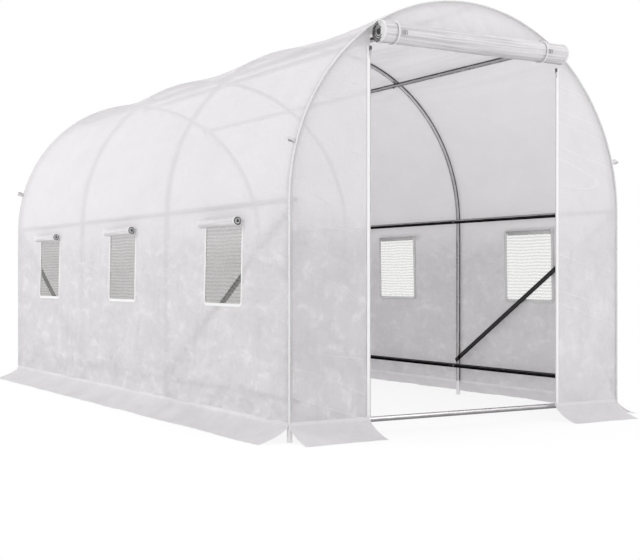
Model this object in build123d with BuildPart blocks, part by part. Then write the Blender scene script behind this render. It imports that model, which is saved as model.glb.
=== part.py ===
"""Polytunnel greenhouse: steel hoops, purlins and rails under a fitted sheet cover.

X runs across the tunnel, +Y toward the closed back end, Z up. The doorway is in the
-Y end. All sizes are in millimetres and the feet stand on Z = 0.
"""

import os
from math import asin, cos, degrees, radians, sin, sqrt

from build123d import *

os.makedirs("parts", exist_ok=True)

# Overall form, measured over the cover
width = 2000
length = 4020
spring_z = 1070
half_w = width / 2
half_l = length / 2

# Tubes
tube_r = 12.5
nip = 1.0
seat_gap = 0.1
foot_z = 0

# Cover sheet
sheet = 3.0
cover_gap = 0.5
bay_sag = 24.0
dip_steps = 5

# Skirt section: a tight curve off the wall, then a long one down to the ground
flare_r = 37
flare_deg = 55
run_r = 340
run_deg = 25.5
flare_a = radians(flare_deg)
run_a = radians(flare_deg + run_deg)
fold_z = flare_r * sin(flare_a) + run_r * (sin(run_a) - sin(flare_a)) + sheet * sin(run_a)

# Hoops stand just inside the cover
hoop_r = half_w - sheet - cover_gap - tube_r
end_hoop_y = half_l - sheet - cover_gap - tube_r
bay = 2 * end_hoop_y / 3
hoop_y = [-end_hoop_y, -end_hoop_y + bay, end_hoop_y - bay, end_hoop_y]
bay_mid = [(hoop_y[i] + hoop_y[i + 1]) / 2 for i in range(3)]

# Purlins and rails lie against the inside of the hoops, nipped flat where they cross them
lap = 2 * tube_r - nip
rail_r = hoop_r - lap
seat_r = hoop_r - tube_r - seat_gap
rail_half_l = end_hoop_y + 10
shoulder_deg = 31.3
mid_rail_rise = 10
mid_rail_z = spring_z + mid_rail_rise
low_rail_z = 182
ground_rail_z = 72
ground_rail_y = end_hoop_y - lap
ground_seat_y = end_hoop_y - tube_r - seat_gap
ground_rail_half = hoop_r + 10

# Braces: round tube with both ends squashed flat against the legs, beside the rails
brace_drop = 34
brace_top_z = mid_rail_z - brace_drop
brace_low_z = low_rail_z + brace_drop
brace_tab_t = 5.0
brace_tab_len = 34
brace_neck = 40
brace_end = 5
brace_set = 2
brace_r = seat_r - brace_tab_t / 2 - brace_set

# Doorway, its rolled-up flap and its zips
door_half = 566
door_corner = 59.7795  # from each top corner of the doorway, level, to the arch
door_top = spring_z + sqrt(half_w ** 2 - (door_half + door_corner) ** 2)
zip_w = 14
zip_t = 2.5
zip_top = door_top - 54
roll_r = 54
roll_half = door_half - 6
roll_z = door_top + 7
roll_back_gap = 4
tie_places = (-479, 413)
tie_w = 9
tie_t = 2

# Windows
win_w = 400
win_h = 400
win_top = mid_rail_z - 80
win_sill = win_top - win_h
tape_w = 12
tape_t = 1.5
mesh_t = 1.0
flap_r = 24.5
flap_len = win_w + 8
flap_z = win_top + 2
flap_x = half_w + 9

# Corner loops for the guy lines, bent from webbing with its faces to the front and back
loop_rise = 267
loop_w = 28
loop_out = 40
loop_t = 2.5
loop_bend = 4
loop_depth = 12
loop_gap = 0.3

# Piping along the end arches
piping_w = 9
piping_t = 3


def tube_between(start, end):
    """One round tube from start to end."""
    s = Vector(*start)
    e = Vector(*end)
    with BuildSketch(Plane(origin=s, z_dir=(e - s).normalized())) as ring:
        Circle(tube_r)
    extrude(ring.sketch, amount=(e - s).length)


def hoop_at(y):
    """A hoop: two legs and a half circle."""
    for side in (-1, 1):
        tube_between((side * hoop_r, y, foot_z), (side * hoop_r, y, spring_z))
    with BuildSketch(Plane.XY.offset(spring_z)) as ring:
        with Locations((hoop_r, y)):
            Circle(tube_r)
    revolve(ring.sketch, axis=Axis((0, y, spring_z), (0, -1, 0)), revolution_arc=180)


def flat_spots(points, size):
    """Flats pressed into a rail where it meets the hoops."""
    with Locations(*points):
        Box(*size, mode=Mode.SUBTRACT)


def purlin_at(deg):
    """A purlin under the roof, at an angle from the top of the arch."""
    a = radians(deg)
    x = rail_r * sin(a)
    z = spring_z + rail_r * cos(a)
    tube_between((x, -rail_half_l, z), (x, rail_half_l, z))
    r = seat_r + tube_r / 2
    spots = [Location((r * sin(a), y, spring_z + r * cos(a)), (0, deg, 0)) for y in hoop_y]
    flat_spots(spots, (4 * tube_r, 3 * tube_r, tube_r))


def rail_at(side, z):
    """A level rail along one side wall."""
    tube_between((side * rail_r, -rail_half_l, z), (side * rail_r, rail_half_l, z))
    spots = [Location((side * (seat_r + tube_r / 2), y, z)) for y in hoop_y]
    flat_spots(spots, (tube_r, 3 * tube_r, 4 * tube_r))


def brace_at(side, y_top, y_low):
    """A diagonal brace in an end bay, high at the end hoop, low at the next."""
    top = Vector(side * brace_r, y_top, brace_top_z)
    low = Vector(side * brace_r, y_low, brace_low_z)
    run = (low - top).normalized()
    outward = Vector(side, 0, 0)
    tube_between(top - run * brace_end, low + run * brace_end)
    taper_end = brace_tab_len + brace_neck
    for tip, inward in ((top, run), (low, -run)):
        plane = Plane(origin=tip - inward * brace_end, x_dir=inward, z_dir=inward.cross(outward))
        for face in (-1, 1):
            tab = brace_set + face * brace_tab_t / 2
            with BuildSketch(plane) as squash:
                with BuildLine() as profile:
                    Polyline((0, tab), (brace_tab_len, tab), (taper_end, face * tube_r),
                             (taper_end, face * 2 * tube_r), (0, face * 2 * tube_r), close=True)
                make_face(profile.edges())
            extrude(squash.sketch, amount=2 * tube_r, both=True, mode=Mode.SUBTRACT)


def dip_points(x, i, dip):
    """Plan points along one bay of sheet that dips inward between two hoops."""
    steps = [k / dip_steps for k in range(dip_steps + 1)]
    return [(x - dip * (1 - (2 * t - 1) ** 2), hoop_y[i] + t * bay) for t in steps]


def wall_strip(side, out, thick, mode=Mode.ADD):
    """The side wall sheet: straight along its foot, drawn in between hoops at its head."""
    a = side * (half_w + out)
    b = side * (half_w + out - thick)
    dip = side * bay_sag
    for i in range(3):
        y0 = hoop_y[i]
        y1 = hoop_y[i + 1]
        with BuildSketch(Plane.XY.offset(fold_z)) as foot:
            with BuildLine():
                Polyline((a, y0), (a, y1), (b, y1), (b, y0), close=True)
            make_face()
        with BuildSketch(Plane.XY.offset(spring_z)) as head:
            with BuildLine():
                ThreePointArc((a, y0), (a - dip, bay_mid[i]), (a, y1))
                Line((a, y1), (b, y1))
                ThreePointArc((b, y1), (b - dip, bay_mid[i]), (b, y0))
                Line((b, y0), (a, y0))
            make_face()
        loft([foot.sketch, head.sketch], ruled=True, mode=mode)


def wall_ends(side):
    """The last few millimetres of the wall, past the end hoops."""
    depth = half_l - end_hoop_y
    for s in (-1, 1):
        with Locations((side * (half_w - sheet / 2), s * (half_l - depth / 2), fold_z)):
            Box(sheet, depth, spring_z - fold_z, align=(Align.CENTER, Align.CENTER, Align.MIN))


def cut_windows(side):
    """Cut the three window openings of a side."""
    with Locations(*[(side * half_w, y, win_sill) for y in bay_mid]):
        Box(4 * bay_sag, win_w, win_top - win_sill, align=(Align.CENTER, Align.CENTER, Align.MIN),
            mode=Mode.SUBTRACT)


def keep_windows(side, grow, foot, head):
    """Keep only what lies over the three windows of a side."""
    reach = 4 * bay_sag
    with Locations((side * half_w, 0, (foot + head) / 2)):
        Box(reach, 2 * length, head - foot, mode=Mode.INTERSECT)
    gap = bay - win_w - 2 * grow
    with Locations(*[(side * half_w, y, (foot + head) / 2) for y in hoop_y]):
        Box(reach, gap, 2 * (head - foot), mode=Mode.SUBTRACT)


def end_outline(r, mode=Mode.ADD):
    """The arched outline of an end."""
    with BuildLine() as outline:
        Line((-r, fold_z), (-r, spring_z))
        ThreePointArc((-r, spring_z), (0, spring_z + r), (r, spring_z))
        Line((r, spring_z), (r, fold_z))
        Line((r, fold_z), (-r, fold_z))
    make_face(outline.edges(), mode=mode)


def end_plane(y):
    """Upright plane across the tunnel: local x is X, local y is Z, normal -Y."""
    return Plane(origin=(0, y, 0), x_dir=(1, 0, 0), z_dir=(0, -1, 0))


def flare_face():
    """Section of a skirt: upright at the fold, curving out onto the ground."""
    with BuildLine() as section:
        top_bend = JernArc((0, fold_z), (0, -1), flare_r, flare_deg)
        top_run = JernArc(top_bend @ 1, top_bend % 1, run_r, run_deg)
        low_bend = JernArc((-sheet, fold_z), (0, -1), flare_r + sheet, flare_deg)
        low_run = JernArc(low_bend @ 1, low_bend % 1, run_r + sheet, run_deg)
        Line(top_run @ 1, low_run @ 1)
        Line((-sheet, fold_z), (0, fold_z))
    make_face(section.edges())


# Hoops
with BuildPart() as front_hoop:
    hoop_at(hoop_y[0])
with BuildPart() as second_hoop:
    hoop_at(hoop_y[1])
with BuildPart() as third_hoop:
    hoop_at(hoop_y[2])
with BuildPart() as back_hoop:
    hoop_at(hoop_y[3])

# Purlins
with BuildPart() as ridge_purlin:
    purlin_at(0)
with BuildPart() as left_shoulder_purlin:
    purlin_at(-shoulder_deg)
with BuildPart() as right_shoulder_purlin:
    purlin_at(shoulder_deg)

# Side rails
with BuildPart() as left_mid_rail:
    rail_at(-1, mid_rail_z)
with BuildPart() as right_mid_rail:
    rail_at(1, mid_rail_z)
with BuildPart() as left_low_rail:
    rail_at(-1, low_rail_z)
with BuildPart() as right_low_rail:
    rail_at(1, low_rail_z)

# Ground rails across both ends, behind the legs
with BuildPart() as front_ground_rail:
    tube_between((-ground_rail_half, -ground_rail_y, ground_rail_z),
                 (ground_rail_half, -ground_rail_y, ground_rail_z))
    flat_spots([Location((s * hoop_r, -(ground_seat_y + tube_r / 2), ground_rail_z)) for s in (-1, 1)],
               (3 * tube_r, tube_r, 4 * tube_r))
with BuildPart() as back_ground_rail:
    tube_between((-ground_rail_half, ground_rail_y, ground_rail_z),
                 (ground_rail_half, ground_rail_y, ground_rail_z))
    flat_spots([Location((s * hoop_r, ground_seat_y + tube_r / 2, ground_rail_z)) for s in (-1, 1)],
               (3 * tube_r, tube_r, 4 * tube_r))

# Braces
with BuildPart() as left_front_brace:
    brace_at(-1, hoop_y[0], hoop_y[1])
with BuildPart() as right_front_brace:
    brace_at(1, hoop_y[0], hoop_y[1])
with BuildPart() as left_back_brace:
    brace_at(-1, hoop_y[3], hoop_y[2])
with BuildPart() as right_back_brace:
    brace_at(1, hoop_y[3], hoop_y[2])

# Roof sheet: a half barrel that dips between the hoops
with BuildPart() as roof_cover:
    with BuildSketch(Plane.XY.offset(spring_z)):
        with BuildLine():
            outer = [(half_w, -half_l)]
            inner = [(half_w - sheet, -half_l)]
            for i in range(3):
                outer += dip_points(half_w, i, bay_sag)[:-1]
                inner += dip_points(half_w - sheet, i, bay_sag)[:-1]
            outer += [(half_w, hoop_y[3]), (half_w, half_l)]
            inner += [(half_w - sheet, hoop_y[3]), (half_w - sheet, half_l)]
            Polyline(*outer, *reversed(inner), close=True)
        make_face()
    revolve(axis=Axis((0, 0, spring_z), (0, -1, 0)), revolution_arc=180)

# Side walls with three window openings each
with BuildPart() as left_wall:
    wall_strip(-1, 0, sheet)
    wall_ends(-1)
    cut_windows(-1)
with BuildPart() as right_wall:
    wall_strip(1, 0, sheet)
    wall_ends(1)
    cut_windows(1)

# End panels, fitted inside the roof and wall sheets
end_r = half_w - sheet
with BuildPart() as back_panel:
    with BuildSketch(end_plane(half_l)):
        end_outline(end_r)
    extrude(amount=sheet)
with BuildPart() as front_left_panel:
    with BuildSketch(end_plane(-half_l + sheet)):
        end_outline(end_r)
        with Locations((-door_half, fold_z)):
            Rectangle(2 * width, width + spring_z, align=(Align.MIN, Align.MIN), mode=Mode.SUBTRACT)
    extrude(amount=sheet)
with BuildPart() as front_right_panel:
    with BuildSketch(end_plane(-half_l + sheet)):
        end_outline(end_r)
        with Locations((door_half, fold_z)):
            Rectangle(2 * width, width + spring_z, align=(Align.MAX, Align.MIN), mode=Mode.SUBTRACT)
    extrude(amount=sheet)
with BuildPart() as front_header:
    with BuildSketch(end_plane(-half_l + sheet)):
        end_outline(end_r)
        with Locations((0, door_top)):
            Rectangle(2 * door_half, width, align=(Align.CENTER, Align.MIN), mode=Mode.INTERSECT)
    extrude(amount=sheet)

# Skirts
with BuildPart() as left_skirt:
    with BuildSketch(Plane(origin=(-half_w, -half_l, 0), x_dir=(-1, 0, 0), z_dir=(0, 1, 0))):
        flare_face()
    extrude(amount=length)
with BuildPart() as right_skirt:
    with BuildSketch(Plane(origin=(half_w, -half_l, 0), x_dir=(1, 0, 0), z_dir=(0, -1, 0))):
        flare_face()
    extrude(amount=-length)
with BuildPart() as back_skirt:
    with BuildSketch(Plane(origin=(-end_r, half_l, 0), x_dir=(0, 1, 0), z_dir=(1, 0, 0))):
        flare_face()
    extrude(amount=2 * end_r)
panel_w = end_r - door_half
with BuildPart() as front_left_skirt:
    with BuildSketch(Plane(origin=(-end_r, -half_l, 0), x_dir=(0, -1, 0), z_dir=(-1, 0, 0))):
        flare_face()
    extrude(amount=-panel_w)
with BuildPart() as front_right_skirt:
    with BuildSketch(Plane(origin=(door_half, -half_l, 0), x_dir=(0, -1, 0), z_dir=(-1, 0, 0))):
        flare_face()
    extrude(amount=-panel_w)

# Piping along the end arches
with BuildPart() as front_piping:
    with BuildSketch(end_plane(-half_l)):
        end_outline(half_w)
        end_outline(half_w - piping_w, mode=Mode.SUBTRACT)
    extrude(amount=piping_t)
with BuildPart() as back_piping:
    with BuildSketch(end_plane(half_l + piping_t)):
        end_outline(half_w)
        end_outline(half_w - piping_w, mode=Mode.SUBTRACT)
    extrude(amount=piping_t)

# Rolled-up door flap, with the sheet that joins it to the header
roll_y = -half_l - roll_back_gap - roll_r
with BuildPart() as door_roll:
    with BuildSketch(Plane(origin=(-roll_half, roll_y, roll_z), x_dir=(0, 1, 0), z_dir=(1, 0, 0))):
        Circle(roll_r)
    extrude(amount=2 * roll_half)
    with Locations((0, -half_l, door_top)):
        Box(2 * door_half - 40, roll_back_gap + roll_r, sheet, align=(Align.CENTER, Align.MAX, Align.MIN))

# Straps that hold the roll up
with BuildPart() as door_ties:
    for x in tie_places:
        with BuildSketch(Plane(origin=(x - tie_w / 2, roll_y, roll_z), x_dir=(0, 1, 0), z_dir=(1, 0, 0))):
            Circle(roll_r + tie_t)
            Circle(roll_r, mode=Mode.SUBTRACT)
            with Locations((roll_r + roll_back_gap, 0)):
                Rectangle(4 * tie_t, 4 * roll_r, align=(Align.MIN, Align.CENTER), mode=Mode.SUBTRACT)
            with Locations((0, door_top - roll_z)):
                Rectangle(4 * roll_r, 3 * sheet, align=(Align.MIN, Align.CENTER), mode=Mode.SUBTRACT)
        extrude(amount=tie_w)

# Zips down both sides of the doorway
with BuildPart() as left_zip:
    with Locations((-door_half - zip_w / 2, -half_l, fold_z)):
        Box(zip_w, zip_t, zip_top - fold_z, align=(Align.CENTER, Align.MAX, Align.MIN))
with BuildPart() as right_zip:
    with Locations((door_half + zip_w / 2, -half_l, fold_z)):
        Box(zip_w, zip_t, zip_top - fold_z, align=(Align.CENTER, Align.MAX, Align.MIN))

# Window mesh, behind the openings
with BuildPart() as left_window_mesh:
    wall_strip(-1, -sheet, mesh_t)
    keep_windows(-1, tape_w, win_sill - tape_w, win_top + tape_w)
with BuildPart() as right_window_mesh:
    wall_strip(1, -sheet, mesh_t)
    keep_windows(1, tape_w, win_sill - tape_w, win_top + tape_w)

# Tape bound round the sides and sill of each window
with BuildPart() as left_window_tape:
    wall_strip(-1, tape_t, tape_t)
    keep_windows(-1, tape_w, win_sill - tape_w, win_top - flap_r)
    cut_windows(-1)
with BuildPart() as right_window_tape:
    wall_strip(1, tape_t, tape_t)
    keep_windows(1, tape_w, win_sill - tape_w, win_top - flap_r)
    cut_windows(1)


def flap_rolls(side):
    """Rolled-up window flaps, each hanging from the wall over its window."""
    for y in bay_mid:
        with Locations(Location((side * flap_x, y, flap_z), (90, 0, 0))):
            Cylinder(flap_r, flap_len)
        with Locations((side * (flap_x - 1.5 * bay_sag), y, win_top + 2 * sheet)):
            Box(3 * bay_sag, win_w, sheet)
    wall_strip(side, 0, 4 * bay_sag, mode=Mode.SUBTRACT)


with BuildPart() as left_window_flaps:
    flap_rolls(-1)
with BuildPart() as right_window_flaps:
    flap_rolls(1)

# Corner loops, standing out from the end arches
loop_deg = degrees(asin(loop_rise / half_w))


def bight(out, half, bend, mode=Mode.ADD):
    """Outline of a bend of webbing, open at its foot."""
    with BuildLine() as outline:
        Polyline((0, -half), (out - bend, -half), (out, bend - half), (out, half - bend),
                 (out - bend, half), (0, half), close=True)
    make_face(outline.edges(), mode=mode)


def loops_at(y):
    """Two webbing loops on one end arch, centred on y."""
    for side in (-1, 1):
        out = Vector(side * cos(radians(loop_deg)), 0, sin(radians(loop_deg)))
        along = Vector(-side * sin(radians(loop_deg)), 0, cos(radians(loop_deg)))
        foot = Vector(0, y, spring_z) + out * (half_w + loop_gap) - along * (loop_w / 2)
        with BuildSketch(Plane(origin=foot, x_dir=out, z_dir=along)) as loop:
            bight(loop_out, loop_depth / 2, loop_bend)
            bight(loop_out - loop_t, loop_depth / 2 - loop_t, loop_bend - loop_t / 2, mode=Mode.SUBTRACT)
        extrude(loop.sketch, amount=loop_w)


with BuildPart() as guy_loops:
    loops_at(-half_l + loop_depth / 2)
    loops_at(half_l - loop_depth / 2)

named = {
    "front_hoop": front_hoop,
    "second_hoop": second_hoop,
    "third_hoop": third_hoop,
    "back_hoop": back_hoop,
    "ridge_purlin": ridge_purlin,
    "left_shoulder_purlin": left_shoulder_purlin,
    "right_shoulder_purlin": right_shoulder_purlin,
    "left_mid_rail": left_mid_rail,
    "right_mid_rail": right_mid_rail,
    "left_low_rail": left_low_rail,
    "right_low_rail": right_low_rail,
    "front_ground_rail": front_ground_rail,
    "back_ground_rail": back_ground_rail,
    "left_front_brace": left_front_brace,
    "right_front_brace": right_front_brace,
    "left_back_brace": left_back_brace,
    "right_back_brace": right_back_brace,
    "roof_cover": roof_cover,
    "left_wall": left_wall,
    "right_wall": right_wall,
    "back_panel": back_panel,
    "front_left_panel": front_left_panel,
    "front_right_panel": front_right_panel,
    "front_header": front_header,
    "left_skirt": left_skirt,
    "right_skirt": right_skirt,
    "back_skirt": back_skirt,
    "front_left_skirt": front_left_skirt,
    "front_right_skirt": front_right_skirt,
    "front_piping": front_piping,
    "back_piping": back_piping,
    "door_roll": door_roll,
    "door_ties": door_ties,
    "left_zip": left_zip,
    "right_zip": right_zip,
    "left_window_mesh": left_window_mesh,
    "right_window_mesh": right_window_mesh,
    "left_window_tape": left_window_tape,
    "right_window_tape": right_window_tape,
    "left_window_flaps": left_window_flaps,
    "right_window_flaps": right_window_flaps,
    "guy_loops": guy_loops,
}

for name, node in named.items():
    node.part.label = name
    export_step(node.part, "parts/" + name + ".step")
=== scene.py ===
"""Looks of the polytunnel greenhouse: a translucent sheet cover over galvanised hoops."""

from collections import namedtuple
from itertools import product
from math import asin, cos, pi, radians, sin

import bmesh
import bpy
import numpy as np
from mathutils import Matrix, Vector


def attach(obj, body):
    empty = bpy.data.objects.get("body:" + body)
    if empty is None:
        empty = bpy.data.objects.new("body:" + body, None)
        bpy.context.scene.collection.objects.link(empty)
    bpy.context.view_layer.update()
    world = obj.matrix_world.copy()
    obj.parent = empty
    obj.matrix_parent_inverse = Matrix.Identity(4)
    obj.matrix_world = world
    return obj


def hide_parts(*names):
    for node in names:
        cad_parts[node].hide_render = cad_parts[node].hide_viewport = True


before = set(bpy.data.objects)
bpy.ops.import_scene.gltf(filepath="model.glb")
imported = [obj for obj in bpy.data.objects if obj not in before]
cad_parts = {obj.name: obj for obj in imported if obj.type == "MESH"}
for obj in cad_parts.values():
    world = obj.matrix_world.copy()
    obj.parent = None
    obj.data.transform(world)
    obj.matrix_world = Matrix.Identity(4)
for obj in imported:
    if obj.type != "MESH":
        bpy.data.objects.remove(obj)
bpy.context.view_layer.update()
scene = bpy.context.scene
scene.view_settings.view_transform = "Standard"

# Sizes in metres, as in the solids. Sheets are drawn at the middle of their thickness.
HALF_W = 1.0
HALF_L = 2.010
SPRING = 1.070
SHEET = 0.003
SKIN = HALF_W - SHEET / 2
END_SKIN = HALF_L - SHEET / 2
END_R = HALF_W - SHEET
SAG = 0.024
FOLD = 0.0901
TUBE_R = 0.0125
HOOP_R = 0.984
RAIL_R = 0.960
END_Y = 1.994
BAY = 2 * END_Y / 3
HOOP_Y = [-END_Y, -END_Y + BAY, END_Y - BAY, END_Y]
BAY_MID = [-BAY, 0.0, BAY]
SHOULDER = radians(31.3)
MID_RAIL = 1.080
LOW_RAIL = 0.182
GROUND_RAIL = 0.072
DOOR = 0.566
DOOR_TOP = 1.850
ZIP_TOP = 1.796
WIN_HALF = 0.2
WIN_SILL = 0.600
WIN_TOP = 1.000
FLARE = (0.0385, 0.3415)
FLARE_DEG = (55.0, 80.5)
WRAP = 2 * SPRING + pi * HALF_W
THREAD_PITCH = 0.0085

# Heights over which the crumples of the low walls fade, in their shape and in their look, which
# includes painted shade low down
CRUMPLE_FADE = (0.80, 1.06)
LOOK_FADE = (0.82, 1.10)

# How closely the sheets are divided
ROOF_STEP = 0.0132
ARCH_STEP = 0.0140
WALL_STEP = 0.0118
END_STEP = 0.0135
HEADER_STEP = 0.055
SKIRT_STEP = 0.014
MESH_STEP = 0.0125

SIDES = ((-1, "left"), (1, "right"))
HOOPS = ["front_hoop", "second_hoop", "third_hoop", "back_hoop"]
PURLINS = ["ridge_purlin", "left_shoulder_purlin", "right_shoulder_purlin"]
UP = np.array([0, 0, 1.0])
WHITE = (1, 1, 1)
COOL = (1.0, 0.978, 0.998)


# Meshes
def add_mesh(name, points, faces, mat, uv=None, smooth=True):
    """A mesh object from arrays of points and faces."""
    mesh = bpy.data.meshes.new(name)
    mesh.from_pydata(np.asarray(points).tolist(), [], [list(map(int, f)) for f in faces])
    if uv is not None:
        layer = mesh.uv_layers.new(name="flat")
        corner = np.empty(len(mesh.loops), dtype=np.int32)
        mesh.loops.foreach_get("vertex_index", corner)
        layer.data.foreach_set("uv", np.asarray(uv)[corner].astype(np.float32).ravel())
    mesh.polygons.foreach_set("use_smooth", [smooth] * len(mesh.polygons))
    mesh.materials.append(mat)
    mesh.update()
    obj = bpy.data.objects.new(name, mesh)
    scene.collection.objects.link(obj)
    return obj


def grid_faces(rows, cols, closed=False):
    """Quads of a grid of points; closed joins the last column to the first."""
    idx = np.arange(rows * cols).reshape(rows, cols)
    if closed:
        idx = np.concatenate([idx, idx[:, :1]], axis=1)
    quads = np.stack([idx[:-1, :-1], idx[:-1, 1:], idx[1:, 1:], idx[1:, :-1]], -1)
    return quads.reshape(-1, 4)


def add_sheet(name, pts, uv, mat, hole=None):
    """A sheet from a grid of points, with its flat place in metres; hole marks quads left out."""
    faces = grid_faces(*pts.shape[:2])
    if hole is not None:
        faces = faces[~hole.reshape(-1)]
    used, faces = np.unique(faces, return_inverse=True)
    return add_mesh(name, pts.reshape(-1, 3)[used], faces.reshape(-1, 4), mat,
                    uv.reshape(-1, 2)[used])


def steps(*marks, size):
    """Even steps of about one size between marks."""
    out = [marks[0]]
    for a, b in zip(marks[:-1], marks[1:]):
        n = max(1, int(round(abs(b - a) / size)))
        out += [a + (b - a) * (k + 1) / n for k in range(n)]
    return np.array(out)


def swept(path, across, up, profile):
    """Points of a profile (across, up) carried along a path."""
    path, across, up = (np.asarray(v)[:, None, :] for v in (path, across, up))
    a, b = (np.array(v)[None, :, None] for v in zip(*profile))
    return path + across * a + up * b


def rectangle(w, h):
    """Corners of a flat rectangle from its half width and half height."""
    return [(-w, -h), (w, -h), (w, h), (-w, h)]


def fit(obj, node=None):
    """Give a piece its body, and hide the node that it replaces."""
    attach(obj, "root")
    if node:
        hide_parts(node)
    return obj


# Smooth noise, the same on every run
TABLE = 97


def smooth(a, b, x):
    """0 before a, 1 after b, smooth between."""
    t = np.clip((x - a) / (b - a), 0, 1)
    return t * t * (3 - 2 * t)


def noise(u, v, seed):
    """Smooth noise from -1 to 1, one cell to each unit."""
    table = np.random.default_rng(seed).uniform(-1, 1, (TABLE, TABLE))
    u, v = np.broadcast_arrays(u, v)
    i, j = np.floor(u).astype(int), np.floor(v).astype(int)
    a, b = u - i, v - j
    a = a * a * a * (a * (a * 6 - 15) + 10)
    b = b * b * b * (b * (b * 6 - 15) + 10)
    p, q = i % TABLE, j % TABLE
    r, t = (i + 1) % TABLE, (j + 1) % TABLE
    low = table[p, q] * (1 - a) + table[r, q] * a
    high = table[p, t] * (1 - a) + table[r, t] * a
    return low * (1 - b) + high * b


def creases(u, v, seed, sharp=2.0):
    """Narrow ridges along the lines where smooth noise crosses zero, 0 to 1."""
    return (1 - np.abs(noise(u, v, seed))) ** (2 * sharp)


# Form of the cover
def bay_place(y):
    """Where y lies in its bay, from 0 at one hoop to 1 at the next."""
    t = (np.clip(y, -END_Y, END_Y) + END_Y) / BAY
    return t - np.clip(np.floor(t), 0, 2)


def wrinkles(y, s):
    """Wrinkles of the long cover. s runs up the left wall, over the roof and down the right."""
    low = np.minimum(s, WRAP - s)
    wall = 1 - smooth(*CRUMPLE_FADE, low)
    wy = y + 0.05 * noise(y / 0.23, s / 0.31, 3)
    ws = s + 0.09 * noise(y / 0.19, s / 0.27, 4)
    soft = (0.0012 + 0.0020 * wall) * noise(wy / 0.24, ws / 0.42, 5)
    crumple = 0.0062 * creases(wy / 0.11, ws / 0.21, 6)
    crumple = crumple + 0.0042 * creases(wy / 0.060, ws / 0.095, 7)
    crumple = crumple + 0.0028 * noise(wy / 0.040, ws / 0.060, 8)
    slant = creases((wy + 0.55 * ws) / 0.11, ws / 0.55, 9)
    slant = slant + creases((wy - 0.55 * ws) / 0.12, ws / 0.60, 10)
    pull = 0.0005 * noise(wy / 0.5, ws / 0.045, 12) * smooth(1.0, 1.3, low)
    out = soft + wall * (crumple - 0.0038) + (0.0009 + 0.0010 * wall) * (slant - 0.6) + pull
    # Held flat by the binding round each window
    for centre in BAY_MID:
        off_y = np.abs(y - centre) - WIN_HALF
        off_z = np.abs(low - (WIN_SILL + WIN_TOP) / 2) - WIN_HALF
        ring = np.hypot(np.maximum(off_y, 0), np.maximum(off_z, 0))
        out = out * (0.25 + 0.75 * smooth(0.012, 0.07, ring))
    return out


def cover_depth(y, s):
    """How far the cover lies inside the hoops' outline at a place."""
    t = bay_place(y)
    hoop_gap = np.minimum(t, 1 - t) * BAY
    bend = 0.02
    near = (np.sqrt(hoop_gap ** 2 + bend ** 2) - bend) / BAY
    belly = 4 * near * (1 - near)
    low = np.minimum(s, WRAP - s)
    foot = np.clip((low - FOLD) / (SPRING - FOLD), 0, 1)
    arc = np.clip((s - SPRING) / HALF_W, 0, pi)
    bars = [0.0, pi / 2 - SHOULDER, pi / 2, pi / 2 + SHOULDER, pi]
    extra = np.zeros_like(y * s)
    for a, b, deep in zip(bars[:-1], bars[1:], (0.006, 0.003, 0.003, 0.006)):
        k = np.clip((arc - a) / (b - a), 0, 1)
        extra += deep * 4 * k * (1 - k)
    free = 0.10 + 0.90 * smooth(0.008, 0.11, hoop_gap)
    depth = SAG * belly * foot + extra * belly + free * wrinkles(y, s)
    # The sheet rests on the purlins and mid rails, with soft edges beside them
    rest = SKIN - (RAIL_R + TUBE_R) - 0.0012
    edge = 0.002
    for bar in bars:
        off = np.abs((s - SPRING) - bar * HALF_W)
        room = rest + np.maximum(0, off - 0.006) * 0.5
        soft = -edge * np.logaddexp(-depth / edge, -room / edge)
        depth = np.where(off < 0.06, soft, depth)
    return depth


def wall_x(side, y, z, proud=0.0):
    """X of the side wall's sheet at a height and a place along it."""
    s = z if side < 0 else WRAP - z
    return side * (SKIN - cover_depth(y, s) + proud)


def end_wrinkles(x, z, seed, amount=1.0):
    """Wrinkles of an end panel."""
    wx = x + 0.03 * noise(x / 0.16, z / 0.22, seed)
    wz = z + 0.05 * noise(x / 0.17, z / 0.20, seed + 1)
    low = 1 - smooth(0.7, 1.2, z)
    out = 0.0040 * noise(wx / 0.20, wz / 0.33, seed + 2)
    out += low * 0.0050 * creases(wx / 0.08, wz / 0.24, seed + 3)
    out += low * 0.0028 * noise(wx / 0.040, wz / 0.09, seed + 4)
    out += 0.0032 * creases((wx + 0.7 * wz) / 0.16, wz / 0.5, seed + 5)
    out += 0.0022 * creases((wx - 0.9 * wz) / 0.13, wz / 0.4, seed + 6)
    out += 0.0026 * creases((wz + 0.22 * wx) / 0.21, wx / 0.7, seed + 7, 3.0)
    return amount * (out - 0.003)


# Shader nodes
def new_material(name):
    """An empty node material, its tree and its output."""
    mat = bpy.data.materials.new(name)
    mat.use_nodes = True
    nt = mat.node_tree
    nt.nodes.clear()
    return mat, nt, nt.nodes.new("ShaderNodeOutputMaterial")


def feed(nt, socket, value):
    """Link another node's output to a socket, or set the socket to a constant."""
    if isinstance(value, bpy.types.NodeSocket):
        nt.links.new(value, socket)
    else:
        socket.default_value = value


def put(nt, kind, settings=None, **inputs):
    """A node with its settings, and its inputs set or linked by name."""
    n = nt.nodes.new(kind)
    for key, value in (settings or {}).items():
        setattr(n, key, value)
    for key, value in inputs.items():
        feed(nt, n.inputs[key.replace("_", " ")], value)
    return n


def calc(nt, operation, *values):
    """A Math node."""
    n = put(nt, "ShaderNodeMath", {"operation": operation})
    for socket, value in zip(n.inputs, values):
        feed(nt, socket, value)
    return n.outputs[0]


def add(nt, total, *others):
    """The sum of some values."""
    for value in others:
        total = calc(nt, "ADD", total, value)
    return total


def times(nt, total, *others):
    """The product of some values."""
    for value in others:
        total = calc(nt, "MULTIPLY", total, value)
    return total


def less(nt, a, b):
    """One value less another."""
    return calc(nt, "SUBTRACT", a, b)


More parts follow.
